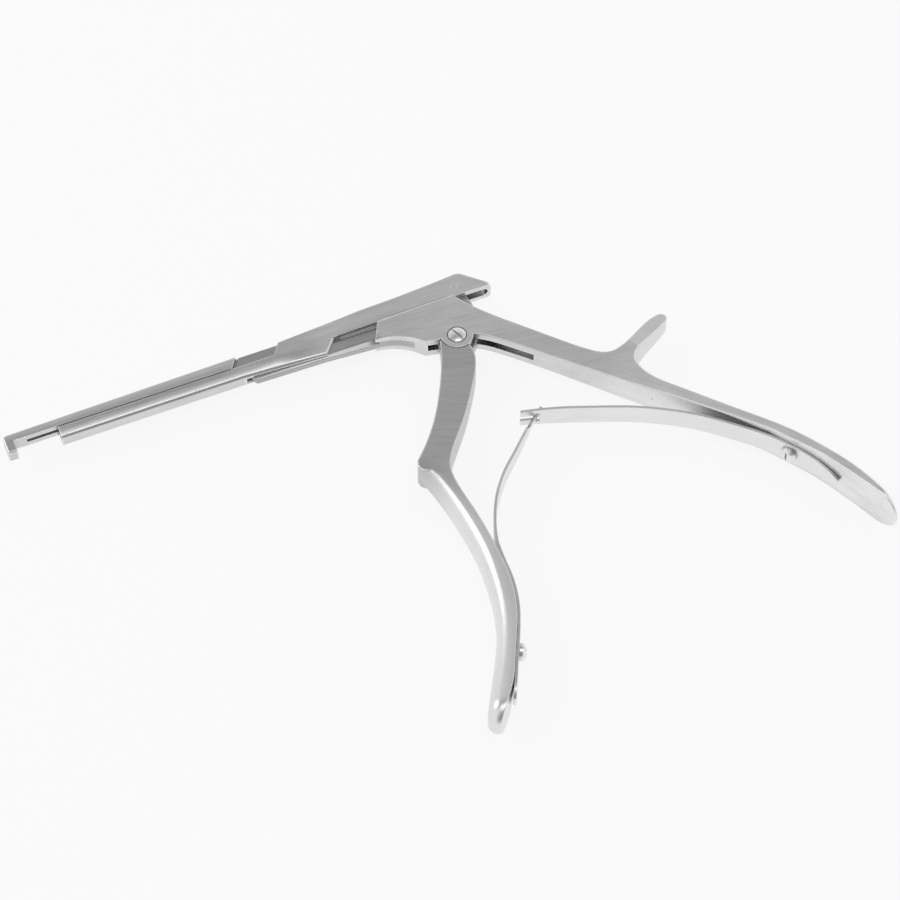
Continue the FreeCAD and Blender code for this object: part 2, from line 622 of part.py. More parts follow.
def drive_pin():
    """The cross pin in the slider's tail, ground flush with its cheeks."""
    return rod(PIN_RADIUS, -SLIDER_REAR_HALF, SLIDER_REAR_HALF, HALF_STROKE, PIN_Y)


def rear_screw_place():
    """Where the rear leaf's screw stands on its seat, and the way out of it."""
    top, low = REAR_SEAT
    return between(top, low, REAR_SCREW_SHARE), right_of(heading(top, low))


def front_screw_place():
    """Where the front leaf's screw stands on its seat, and the way out of it."""
    low, top = FRONT_SEAT
    return between(low, top, FRONT_SCREW_SHARE), right_of(heading(low, top))


def leaf_screw_hole(place, outward):
    """The blind hole under a leaf's screw."""
    start = shifted(place, outward, 1.0)
    way = V(-outward[0], -outward[1], 0)
    return Part.makeCylinder(LEAF_SCREW_SHANK + RUNNING / 2, LEAF_SCREW_LENGTH + 1.1, V(*start, 0), way)


def leaf_screw(place, outward, slot_angle):
    """A domed slotted screw on a leaf, with its shank in the handle."""
    screw = domed_head(LEAF_SCREW_HEAD, LEAF_SCREW_RISE * 0.45, LEAF_SCREW_RISE * 0.55, slot_angle)
    shank = rod(LEAF_SCREW_SHANK, -LEAF_SCREW_LENGTH - LEAF_THICK, 0.2)
    screw = screw.fuse(shank)
    turn = FreeCAD.Rotation(V(0, 0, 1), V(*outward, 0))
    screw.Placement = FreeCAD.Placement(V(*shifted(place, outward, LEAF_THICK + 2 * LEAF_GAP), 0), turn)
    return one_solid(screw)


def leaf_strip(path, side):
    """A strip of the leaf's thickness to one side of a path: 1 to its left, -1 to its right."""
    curve = Part.BSplineCurve()
    curve.interpolate(Points=[V(x, y, 0) for x, y in path])
    near = curve.toShape()
    far_points = []
    count = 2 * len(path)
    first, last = curve.FirstParameter, curve.LastParameter
    for step in range(count + 1):
        u = first + (last - first) * step / count
        along = curve.tangent(u)[0]
        across = V(-along.y, along.x, 0) * (side * LEAF_THICK)
        far_points.append(curve.value(u) + across)
    far_curve = Part.BSplineCurve()
    far_curve.interpolate(Points=far_points)
    far = far_curve.toShape()
    ends = [Part.makeLine(near.valueAt(first), far_points[0]), Part.makeLine(near.valueAt(last), far_points[-1])]
    return plate([near, far] + ends, -OUTSIDE / 2, OUTSIDE / 2)


def rear_leaf_spring():
    """The rear leaf: pointed end, clamped stretch, free arch and forked tip."""
    top, low = REAR_SEAT
    outward = right_of(heading(top, low))
    seat_top = shifted(between(top, low, 0.25), outward, LEAF_GAP)
    seat_mid = shifted(between(top, low, 0.6), outward, LEAF_GAP)
    seat_low = shifted(low, outward, LEAF_GAP + 0.05)
    tail_end = (80.75, -88.4)
    path = [(5.9, -32.4), (11.4, -33.9), (25.9, -39.2), (38.8, -44.8), (51.9, -53.0), (61.2, -61.2),
            seat_top, seat_mid, seat_low, (78.2, -83.2), tail_end]
    strip = leaf_strip(path, -1)
    turn = math.degrees(math.atan2(path[0][1] - tail_end[1], path[0][0] - tail_end[0]))
    length = math.hypot(path[0][0] - tail_end[0], path[0][1] - tail_end[1])
    plan = [(-0.1, 0.25), (2.2, 1.5), (6.5, 2.7), (13.0, LEAF_HALF), (length - 12.0, LEAF_HALF),
            (length - 1.0, 3.15), (length + 3.0, 3.0)]
    outline = [(x, -w) for x, w in plan] + [(x, w) for x, w in reversed(plan)]
    width = Part.Face(Part.Wire(chain3(outline))).extrude(V(0, 8 * OUTSIDE, 0))
    width.translate(V(0, -4 * OUTSIDE, 0))
    width.rotate(V(0, 0, 0), V(0, 0, 1), turn)
    width.translate(V(*tail_end, 0))
    leaf = strip.common(width)
    slot = slab(-2, FORK_SLOT_LENGTH, -6, 6, FORK_SLOT_HALF)
    pocket = slab(FORK_SLOT_LENGTH - FORK_POCKET_LENGTH, FORK_SLOT_LENGTH, -6, 6, FORK_POCKET_HALF)
    fork = slot.fuse(pocket)
    fork.rotate(V(0, 0, 0), V(0, 0, 1), math.degrees(math.atan2(path[1][1] - path[0][1], path[1][0] - path[0][0])))
    fork.translate(V(*path[0], 0))
    place, way = rear_screw_place()
    return one_solid(leaf.cut(fork).cut(through_hole(place, way)))


def through_hole(place, way):
    start = V(*shifted(place, way, -2), 0)
    return Part.makeCylinder(LEAF_SCREW_SHANK + 0.1, 6, start, V(*way, 0))


def front_leaf_spring():
    """The front leaf: clamped on the front handle, then a free arch whose tongue passes the fork."""
    low, top = FRONT_SEAT
    outward = right_of(heading(low, top))
    seat_low = shifted(low, outward, LEAF_GAP)
    seat_mid = shifted(between(low, top, 0.5), outward, LEAF_GAP)
    seat_top = shifted(top, outward, LEAF_GAP)
    path = [(-34.4, -119.3), seat_low, seat_mid, seat_top, (-21.6, -92.3), (-19.9, -84.5), (-19.4, -77.0),
            (-18.7, -71.3), (-16.6, -65.0), (-12.9, -57.6), (-7.4, -50.3), (-1.0, -44.1), (4.6, -38.6),
            (8.4, -35.0), (12.7, -31.6)]
    strip = leaf_strip(path, -1)
    plan = [(-0.1, 1.6), (1.6, 3.0), (4.0, LEAF_HALF), (66.0, LEAF_HALF), (84.0, 2.5), (90.6, 1.9),
            (91.2, TONGUE_HALF), (110.0, TONGUE_HALF)]
    outline = [(x, -w) for x, w in plan] + [(x, w) for x, w in reversed(plan)]
    turn = math.degrees(math.atan2(path[-1][1] - path[0][1], path[-1][0] - path[0][0]))
    width = Part.Face(Part.Wire(chain3(outline))).extrude(V(0, 8 * OUTSIDE, 0))
    width.translate(V(0, -4 * OUTSIDE, 0))
    width.rotate(V(0, 0, 0), V(0, 0, 1), turn)
    width.translate(V(*path[0], 0))
    place, way = front_screw_place()
    return one_solid(strip.common(width).cut(through_hole(place, way)))


def lay_down(pieces):
    """Move all pieces so that the middle of their box is at X = Y = 0 and its lowest side at Z = 0."""
    box = Part.makeCompound(list(pieces.values())).optimalBoundingBox(False)
    shift = V(-(box.XMin + box.XMax) / 2, -(box.YMin + box.YMax) / 2, -box.ZMin)
    for shape in pieces.values():
        shape.translate(shift)
    print("pivot axis at", [round(v, 4) for v in shift])


def main():
    os.makedirs("parts", exist_ok=True)
    pieces = {
        "frame": fixed_frame(),
        "slider": slider(),
        "front_handle": front_handle(),
        "pivot_screw": pivot_screw(),
        "drive_pin": drive_pin(),
        "rear_leaf_spring": rear_leaf_spring(),
        "front_leaf_spring": front_leaf_spring(),
        "rear_leaf_screw": leaf_screw(*rear_screw_place(), 40.0),
        "front_leaf_screw": leaf_screw(*front_screw_place(), 0.0),
    }
    lay_down(pieces)
    for name, shape in pieces.items():
        print(name, shape.isValid(), len(shape.Solids), round(shape.Volume, 1))
        shape.exportStep("parts/" + name + ".step")


main()
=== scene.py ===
import math

import bmesh
import bpy
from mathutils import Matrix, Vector


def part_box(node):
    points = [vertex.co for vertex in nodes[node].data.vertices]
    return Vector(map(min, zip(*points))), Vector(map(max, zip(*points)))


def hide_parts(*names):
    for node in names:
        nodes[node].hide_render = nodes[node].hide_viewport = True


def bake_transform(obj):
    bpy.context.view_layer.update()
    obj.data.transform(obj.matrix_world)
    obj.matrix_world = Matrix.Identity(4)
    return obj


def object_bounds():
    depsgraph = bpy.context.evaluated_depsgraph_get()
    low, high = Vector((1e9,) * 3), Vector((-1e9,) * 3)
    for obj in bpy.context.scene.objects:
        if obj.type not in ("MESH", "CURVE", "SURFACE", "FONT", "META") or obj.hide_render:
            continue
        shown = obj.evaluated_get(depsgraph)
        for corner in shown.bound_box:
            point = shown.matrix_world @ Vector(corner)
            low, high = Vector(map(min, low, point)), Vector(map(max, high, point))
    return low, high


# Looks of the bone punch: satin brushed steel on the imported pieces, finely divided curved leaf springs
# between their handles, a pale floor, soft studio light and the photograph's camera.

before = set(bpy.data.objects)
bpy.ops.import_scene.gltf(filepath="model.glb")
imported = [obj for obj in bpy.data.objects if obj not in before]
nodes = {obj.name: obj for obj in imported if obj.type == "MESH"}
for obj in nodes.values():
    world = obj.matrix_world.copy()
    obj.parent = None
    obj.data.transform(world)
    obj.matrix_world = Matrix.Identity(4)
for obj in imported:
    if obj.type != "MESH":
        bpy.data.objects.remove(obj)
cad_low, cad_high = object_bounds()
MM = 0.001

# The drawing's origin: the pivot axis, on the middle plane of the instrument
screw_low, screw_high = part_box("pivot_screw")
frame_low, frame_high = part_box("frame")
PIVOT = Vector(((screw_low.x + screw_high.x) / 2, (screw_low.y + screw_high.y) / 2,
                (frame_low.z + frame_high.z) / 2))

# Camera, as the photograph was taken: a long lens, from the handles' side and above
CAMERA_AZIMUTH = -23.0
CAMERA_ELEVATION = 54.0
CAMERA_LENS = 112.0
CAMERA_DISTANCE = 823.53
PIVOT_NEAR_FACE = 3.8
PIVOT_RIGHT_OF_MIDDLE = 2.077
PIVOT_ABOVE_MIDDLE = 34.062

# Leaf springs, in the drawing's millimetres
LEAF_THICK = 0.9
LEAF_HALF = 3.5
LEAF_EDGE = 0.16
FORK_SLOT_HALF = 1.0
FORK_SLOT_LENGTH = 5.7
FORK_POCKET_HALF = 1.9
FORK_POCKET_START = 4.4
TONGUE_HALF = 0.82
REAR_PATH = [(5.9, -32.4), (11.4, -33.9), (25.9, -39.2), (38.8, -44.8), (51.9, -53.0), (61.2, -61.2),
             (70.08, -70.53), (72.78, -74.45), (75.82, -78.96), (78.2, -83.2), (80.75, -88.4)]
REAR_PLAN = [(-1.0, 0.25), (0.0, 0.3), (2.2, 1.5), (6.5, 2.7), (13.0, LEAF_HALF), (81.4, LEAF_HALF),
             (92.4, 3.15), (99.0, 3.1)]
FRONT_PATH = [(-34.4, -119.3), (-31.16, -112.92), (-27.86, -106.27), (-24.56, -99.62), (-21.6, -92.3),
              (-19.9, -84.5), (-19.4, -77.0), (-18.7, -71.3), (-16.6, -65.0), (-12.9, -57.6), (-7.4, -50.3),
              (-1.0, -44.1), (4.6, -38.6), (8.4, -35.0), (12.7, -31.6)]
FRONT_PLAN = [(-1.0, 1.6), (0.0, 1.6), (1.6, 3.0), (4.0, LEAF_HALF), (66.0, LEAF_HALF), (84.0, 2.5),
              (90.6, 1.9), (91.2, TONGUE_HALF), (120.0, TONGUE_HALF)]

# Steels, in metres and shares
EDGE_SEEN_FROM, EDGE_FULL_FROM = 0.95, 0.58
SHELTER_SEEN_FROM, SHELTER_FULL_FROM = 0.9, 0.25
# The grey of the painted shade in slots, gaps and inner corners, and how metallic the steel stays there
PAINTED_RECESS_SHADE = (0.3, 0.3, 0.3)
SHELTERED_METAL = 0.55
GAP_TONE = (0.06, 0.06, 0.06)
# The light grey of the painted highlight along edges
PAINTED_EDGE_HIGHLIGHT = (0.92, 0.92, 0.92)
CLOUD_SCALE, SMUDGE_SCALE = 55.0, 260.0
STROKE_RELIEF = 0.00001
LINE_SOFTNESS = 0.00006
SEAM_END_FADE = 0.0006

# Light: the sky's steps from the far horizon over the top to the near one, and the floor's own white
SKY_STOPS = ((0.0, 0.90), (0.22, 0.72), (0.31, 0.54), (0.39, 0.30), (0.45, 0.50), (0.52, 0.90), (0.60, 0.85),
             (0.70, 0.35), (0.94, 0.30), (1.0, 0.7))
SKY_SIDES = (0.95, 0.95, 0.95)
PAPER_GLOW = 0.86
FLOOR_HALF = 2.5


def at(x, y, z=0.0):
    """A point of the drawing, in millimetres from the pivot axis, in the frame of the scene."""
    return PIVOT + Vector((x, y, z)) * MM


# Shader groups: each effect is built once and placed in the steels that use it

def new_group(name, inputs, outputs):
    """A shader group with these sockets, given as (kind, name) or (kind, name, default)."""
    group = bpy.data.node_groups.new(name, "ShaderNodeTree")
    for entry in inputs:
        socket = group.interface.new_socket(entry[1], in_out="INPUT", socket_type="NodeSocket" + entry[0])
        if len(entry) > 2:
            socket.default_value = entry[2]
    for kind, label in outputs:
        group.interface.new_socket(label, in_out="OUTPUT", socket_type="NodeSocket" + kind)
    return group, group.nodes.new("NodeGroupInput"), group.nodes.new("NodeGroupOutput")


def add(tree, kind, links=None, **settings):
    """A node with its settings; links names what feeds which of its inputs, a socket or a value."""
    node = tree.nodes.new("ShaderNode" + kind)
    for key, value in settings.items():
        setattr(node, key, value)
    for key, value in (links or {}).items():
        if isinstance(value, bpy.types.NodeSocket):
            tree.links.new(value, node.inputs[key])
        else:
            node.inputs[key].default_value = value
    return node


def remap(tree, value, from_low, from_high, to_low, to_high):
    """A value moved from one range to another, and kept within it."""
    node = add(tree, "MapRange", {0: value, 1: from_low, 2: from_high, 3: to_low, 4: to_high})
    return node.outputs[0]


def combine(tree, operation, first, second):
    return add(tree, "Math", {0: first, 1: second}, operation=operation).outputs[0]


def brush_strokes_group():
    """Satin strokes: fine lines and broader bands, both drawn out along the first axis of their space."""
    group, given, result = new_group("brush strokes", [("Vector", "Stroke Space")],
                                     [("Float", "Lines"), ("Float", "Bands")])
    space = given.outputs["Stroke Space"]
    fine = add(group, "TexNoise", {"Vector": space, "Scale": 1.0, "Detail": 3.0, "Roughness": 0.6})
    broad = add(group, "Mapping", {"Vector": space, "Scale": (0.45, 0.3, 0.3)})
    bands = add(group, "TexNoise", {"Vector": broad.outputs[0], "Scale": 1.0, "Detail": 2.0, "Roughness": 0.5})
    group.links.new(remap(group, fine.outputs[0], 0.32, 0.68, 0.0, 1.0), result.inputs["Lines"])
    group.links.new(remap(group, bands.outputs[0], 0.34, 0.66, 0.0, 1.0), result.inputs["Bands"])
    return group


def broken_edges_group():
    """Edges broken by the finishing belt: a soft normal over the edge, and the mask of a painted highlight
    along it.
    """
    group, given, result = new_group("broken edges", [("Float", "Radius", 0.0002), ("Float", "Width", 0.0005)],
                                     [("Vector", "Soft Normal"), ("Float", "Edge Highlight")])
    soft = add(group, "Bevel", {"Radius": given.outputs["Radius"]}, samples=6)
    within = add(group, "AmbientOcclusion", {"Distance": given.outputs["Width"]}, samples=8, inside=True,
                 only_local=True)
    group.links.new(soft.outputs[0], result.inputs["Soft Normal"])
    group.links.new(remap(group, within.outputs["AO"], EDGE_SEEN_FROM, EDGE_FULL_FROM, 0.0, 1.0),
                    result.inputs["Edge Highlight"])
    return group


def recess_shade_group():
    """Slots, gaps and inner corners, where little light arrives: the mask of the painted shade laid into
    their colour.
    """
    group, given, result = new_group("painted recess shade", [("Float", "Reach", 0.003)], [("Float", "Depth")])
    around = add(group, "AmbientOcclusion", {"Distance": given.outputs["Reach"]}, samples=8)
    group.links.new(remap(group, around.outputs["AO"], SHELTER_SEEN_FROM, SHELTER_FULL_FROM, 0.0, 1.0),
                    result.inputs["Depth"])
    return group


def handling_marks_group():
    """Faint clouds and fingertip smudges that dull the satin here and there."""
    group, given, result = new_group("handling marks", [("Vector", "Place"), ("Float", "Size", 60.0)],
                                     [("Float", "Cloud"), ("Float", "Smudge")])
    cloud = add(group, "TexNoise", {"Vector": given.outputs["Place"], "Scale": given.outputs["Size"],
                                    "Detail": 2.0, "Roughness": 0.45})
    spots = add(group, "TexNoise", {"Vector": given.outputs["Place"], "Scale": SMUDGE_SCALE, "Detail": 4.0,
                                    "Roughness": 0.6})
    group.links.new(remap(group, cloud.outputs[0], 0.35, 0.65, 0.0, 1.0), result.inputs["Cloud"])
    group.links.new(remap(group, spots.outputs[0], 0.58, 0.72, 0.0, 1.0), result.inputs["Smudge"])
    return group


def crowned_side_group():
    """A flat side shown slightly round. Only its shading normal leans, as far as it faces sideways; the mesh
    stays flat."""
    group, given, result = new_group("crowned side", [("Vector", "Normal"), ("Vector", "Lean")],
                                     [("Vector", "Normal")])
    parts = add(group, "SeparateXYZ", {0: given.outputs["Normal"]})
    sideways = combine(group, "MULTIPLY", parts.outputs["Z"], parts.outputs["Z"])
    lean = add(group, "VectorMath", {0: given.outputs["Lean"], "Scale": sideways}, operation="SCALE")
    leaned = add(group, "VectorMath", {0: given.outputs["Normal"], 1: lean.outputs[0]}, operation="ADD")
    unit = add(group, "VectorMath", {0: leaned.outputs[0]}, operation="NORMALIZE")
    group.links.new(unit.outputs[0], result.inputs["Normal"])
    return group


STROKES = brush_strokes_group()
EDGES = broken_edges_group()
RECESS_SHADE = recess_shade_group()
MARKS = handling_marks_group()
CROWN = crowned_side_group()


def grouped(tree, group, links):
    return add(tree, "Group", links, node_tree=group)


def strokes(tree, place, turn, long, across):
    """The stroke group along one direction: turn in degrees from +X, strokes per metre along and across."""
    turned = add(tree, "Mapping", {"Vector": place, "Rotation": (0.0, 0.0, math.radians(-turn))})
    stretched = add(tree, "Mapping", {"Vector": turned.outputs[0], "Scale": (long, across, across)})
    return grouped(tree, STROKES, {"Stroke Space": stretched.outputs[0]})


def share_between(tree, place, start, end):
    """0 up to the start point, 1 from the end point on, along the line that joins them."""
    line = end - start
    offset = add(tree, "VectorMath", {0: place, 1: start}, operation="SUBTRACT")
    along = add(tree, "VectorMath", {0: offset.outputs[0], 1: line.normalized()}, operation="DOT_PRODUCT")
    return remap(tree, along.outputs["Value"], 0.0, line.length, 0.0, 1.0)


def away_from(tree, place, centre, near, far):
    """0 around an axis that runs across the instrument, 1 from the far radius on."""
    flat = add(tree, "VectorMath", {0: place, 1: (1.0, 1.0, 0.0)}, operation="MULTIPLY")
    middle = (centre.x, centre.y, 0.0)
    distance = add(tree, "VectorMath", {0: flat.outputs[0], 1: middle}, operation="DISTANCE")
    return remap(tree, distance.outputs["Value"], near, far, 0.0, 1.0)


def blend_values(tree, share, first, second):
    return add(tree, "Mix", {0: share, 2: first, 3: second}, data_type="FLOAT").outputs[0]


def blend_colours(tree, share, first, second):
    first = first if isinstance(first, bpy.types.NodeSocket) else (*first, 1.0)
    second = second if isinstance(second, bpy.types.NodeSocket) else (*second, 1.0)
    return add(tree, "Mix", {0: share, 6: first, 7: second}, data_type="RGBA").outputs[2]


def strip_mask(tree, place, start, end, soft=LINE_SOFTNESS):
    """1 between two parallel lines, square to the way from start to end, and 0 outside them."""
    way = (end - start).normalized() * soft
    opens = share_between(tree, place, start - way, start)
    closes = share_between(tree, place, end, end + way)
    return combine(tree, "SUBTRACT", opens, closes)


def seam(tree, place, front, rear, width):
    """The mask of a thin drawn line from the front point to the rear one; its width is measured upwards."""
    along = (rear - front).normalized()
    across = strip_mask(tree, place, front, front + Vector((-along.y, along.x, 0.0)) * width)
    return combine(tree, "MULTIPLY", across, strip_mask(tree, place, front, rear, SEAM_END_FADE))


def ring(tree, place, centre, inner, outer):
    """The mask of a drawn ring round an axis that runs across the instrument."""
    outside = away_from(tree, place, centre, inner - 0.00005, inner)
    beyond = away_from(tree, place, centre, outer, outer + 0.0001)
    return combine(tree, "SUBTRACT", outside, beyond)


def shaft_lean(*rounds):
    """The shaded round of the shaft's sides. Each one goes from its upper to its lower edge, and fades out on the way
    to the body: (upper edge, lower edge, tilt above, tilt below, start of the fading, its end)."""
    def lean(tree, place):
        total = 0.0
        for high, low, high_tilt, low_tilt, fade_start, fade_end in rounds:
            tilt = remap(tree, share_between(tree, place, high, low), 0.0, 1.0, -high_tilt, -low_tilt)
            stay = remap(tree, share_between(tree, place, fade_start, fade_end), 0.0, 1.0, 1.0, 0.0)
            total = combine(tree, "ADD", combine(tree, "MULTIPLY", tilt, stay), total)
        return add(tree, "CombineXYZ", {"Y": total}).outputs[0]
    return lean


def grip_lean(centre, front, rear, front_tilt, fade_start, fade_end):
    """The shaded round of the bowed grip: it leans to the centre of its bow, most at the front."""
    def lean(tree, place):
        inward = add(tree, "VectorMath", {0: (centre.x, centre.y, 0.0), 1: place}, operation="SUBTRACT")
        inward = add(tree, "VectorMath", {0: inward.outputs[0], 1: (1.0, 1.0, 0.0)}, operation="MULTIPLY")
        distance = add(tree, "VectorMath", {0: inward.outputs[0]}, operation="LENGTH")
        tilt = remap(tree, distance.outputs["Value"], front, rear, front_tilt, 0.0)
        tilt = combine(tree, "MULTIPLY", tilt, share_between(tree, place, fade_start, fade_end))
        unit = add(tree, "VectorMath", {0: inward.outputs[0]}, operation="NORMALIZE")
        leaning = add(tree, "VectorMath", {0: unit.outputs[0], "Scale": tilt}, operation="SCALE")
        turned = add(tree, "VectorTransform", {0: leaning.outputs[0]}, vector_type="VECTOR",
                     convert_from="OBJECT", convert_to="WORLD")
        return turned.outputs[0]
    return lean


def steel(name, dark, light, rough_low, rough_high, regions, edge_radius=0.0003, edge_width=0.0006,
          edge_highlight_share=0.75, recess_shade_share=0.35, reach=0.003, quiet=(), lean=None, middle_shade=None, gaps_and_highlights=(), rings=(),
          cut_side=None, polish=None):
    """A brushed steel. Regions are (turn, strokes along, strokes across, shade, start, end): each later one
    takes over from the one before it between its start and end points. Quiet places are (axis point, near,
    far): no painted edge highlight shows there. Lean shades a side round, middle shade (half thickness,
    front, rear, shade) is painted shade near the middle plane, gaps and highlights (front, rear, width,
    strength, grey) are drawn dark gaps and painted highlights along edges, rings (axis point, inner, outer,
    strength) are drawn gaps, cut side is the tone of a leaf's edge, and polish (start, end, share) is where
    the strokes are polished away."""
    material = bpy.data.materials.new(name)
    material.use_nodes = True
    tree = material.node_tree
    tree.nodes.clear()
    place = add(tree, "TexCoord").outputs["Object"]
    lines = bands = shade = None
    for turn, long, across, tone, start, end in regions:
        stroke = strokes(tree, place, turn, long, across)
        if lines is None:
            lines, bands, shade = stroke.outputs["Lines"], stroke.outputs["Bands"], tone
        else:
            share = share_between(tree, place, start, end)
            lines = blend_values(tree, share, lines, stroke.outputs["Lines"])
            bands = blend_values(tree, share, bands, stroke.outputs["Bands"])
            shade = blend_values(tree, share, shade, tone)
    if polish:
        start, end, share = polish
        calm = combine(tree, "MULTIPLY", share_between(tree, place, start, end), share)
        lines = blend_values(tree, calm, lines, 0.5)
        bands = blend_values(tree, calm, bands, 0.5)
    marks = grouped(tree, MARKS, {"Place": place, "Size": CLOUD_SCALE})
    edges = grouped(tree, EDGES, {"Radius": edge_radius, "Width": edge_width})
    # Painted highlight: a mask along the edges, taken out in the quiet places
    edge_highlight = combine(tree, "MULTIPLY", edges.outputs["Edge Highlight"], edge_highlight_share)
    for centre, near, far in quiet:
        edge_highlight = combine(tree, "MULTIPLY", edge_highlight, away_from(tree, place, centre, near, far))
    tone = combine(tree, "ADD", combine(tree, "MULTIPLY", bands, 0.3), combine(tree, "MULTIPLY", lines, 0.35))
    tone = combine(tree, "ADD", tone, combine(tree, "MULTIPLY", marks.outputs["Cloud"], 0.35))
    base = blend_colours(tree, tone, dark, light)
    # Painted shade near the middle plane between the given points: the colour is darkened there and no edge highlight
    # shows
    if middle_shade:
        half, front, rear, level = middle_shade
        height = add(tree, "SeparateXYZ", {0: place}).outputs["Z"]
        off_middle = combine(tree, "ABSOLUTE", combine(tree, "SUBTRACT", height, PIVOT.z), 0.0)
        inner = remap(tree, off_middle, half, half + 0.0001, 1.0, 0.0)
        inner = combine(tree, "MULTIPLY", inner, strip_mask(tree, place, front, rear))
        shade = combine(tree, "MULTIPLY", remap(tree, inner, 0.0, 1.0, 1.0, level), shade)
        edge_highlight = combine(tree, "MULTIPLY", edge_highlight, remap(tree, inner, 0.0, 1.0, 1.0, 0.0))
    if shade != 1.0:
        grey = add(tree, "CombineXYZ", {0: shade, 1: shade, 2: shade}).outputs[0]
        base = add(tree, "Mix", {0: 1.0, 6: base, 7: grey}, data_type="RGBA", blend_type="MULTIPLY").outputs[2]
    if cut_side:
        faces = add(tree, "SeparateXYZ", {0: add(tree, "NewGeometry").outputs["True Normal"]})
        cut = remap(tree, combine(tree, "MULTIPLY", faces.outputs["Z"], faces.outputs["Z"]), 0.3, 0.7, 0.0, 1.0)
        base = blend_colours(tree, cut, base, cut_side)
    # The painted highlight is laid into the colour along the edges
    base = blend_colours(tree, edge_highlight, base, PAINTED_EDGE_HIGHLIGHT)
    # Painted shade: slots, gaps, inner corners and the room under the leaves are darkened in colour
    recess_shade_mask = grouped(tree, RECESS_SHADE, {"Reach": reach}).outputs["Depth"]
    base = blend_colours(tree, combine(tree, "MULTIPLY", recess_shade_mask, recess_shade_share), base, PAINTED_RECESS_SHADE)
    # Drawn dark gaps, and painted highlights along edges
    for front, rear, width, strength, grey in gaps_and_highlights:
        drawn_line = combine(tree, "MULTIPLY", seam(tree, place, front, rear, width), strength)
        base = blend_colours(tree, drawn_line, base, (grey, grey, grey))
    for centre, inner, outer, strength in rings:
        drawn_line = combine(tree, "MULTIPLY", ring(tree, place, centre, inner, outer), strength)
        base = blend_colours(tree, drawn_line, base, GAP_TONE)
    rough = remap(tree, lines, 0.0, 1.0, rough_low, rough_high)
    rough = combine(tree, "ADD", rough, combine(tree, "MULTIPLY", marks.outputs["Smudge"], 0.05))
    normal = edges.outputs["Soft Normal"]
    if lean:
        normal = grouped(tree, CROWN, {"Normal": normal, "Lean": lean(tree, place)}).outputs["Normal"]
    bump = add(tree, "Bump", {"Strength": 0.5, "Distance": STROKE_RELIEF, "Height": lines, "Normal": normal})
    # Where the painted shade lies, the steel is also made less metallic
    metal = remap(tree, recess_shade_mask, 0.4, 1.0, 1.0, SHELTERED_METAL)
    shader = add(tree, "BsdfPrincipled", {"Base Color": base, "Roughness": rough, "Metallic": metal,
                                          "Normal": bump.outputs[0]})
    output = add(tree, "OutputMaterial")
    tree.links.new(shader.outputs[0], output.inputs["Surface"])
    return material


def dress(obj, material):
    obj.data.materials.clear()
    obj.data.materials.append(material)


# Leaf springs

def plan_width(plan, x):
    for (x1, w1), (x2, w2) in zip(plan, plan[1:]):
        if x <= x2:
            return w1 + (w2 - w1) * max(0.0, x - x1) / (x2 - x1)
    return plan[-1][1]


def smooth_line(points):
    """A smooth line through the points, as close points with their headings and distances."""
    knots = [Vector(p) for p in points]
    spans = [(b - a).length for a, b in zip(knots, knots[1:])]
    slopes = [(b - a) / h for a, b, h in zip(knots, knots[1:], spans)]
    inner = [(slopes[i - 1] * spans[i] + slopes[i] * spans[i - 1]) / (spans[i - 1] + spans[i])
             for i in range(1, len(spans))]
    headings = [slopes[0] * 2 - inner[0]] + inner + [slopes[-1] * 2 - inner[-1]]
    line, travelled = [], 0.0
    for i, span in enumerate(spans):
        steps = max(2, int(span / 0.2))
        for k in range(steps + (i == len(spans) - 1)):
            t = k / steps
            p = (knots[i] * (2 * t ** 3 - 3 * t ** 2 + 1) + headings[i] * (span * (t ** 3 - 2 * t ** 2 + t))
                 + knots[i + 1] * (3 * t ** 2 - 2 * t ** 3) + headings[i + 1] * (span * (t ** 3 - t ** 2)))
            if line:
                travelled += (p - line[-1][1]).length
            line.append((travelled, p))
    return line


def point_on(line, distance):
    for (s1, p1), (s2, p2) in zip(line, line[1:]):
        if distance <= s2:
            return p1 + (p2 - p1) * max(0.0, distance - s1) / (s2 - s1)
    return line[-1][1]


def heading_on(line, distance):
    total = line[-1][0]
    return (point_on(line, min(total, distance + 0.4)) - point_on(line, max(0.0, distance - 0.4))).normalized()


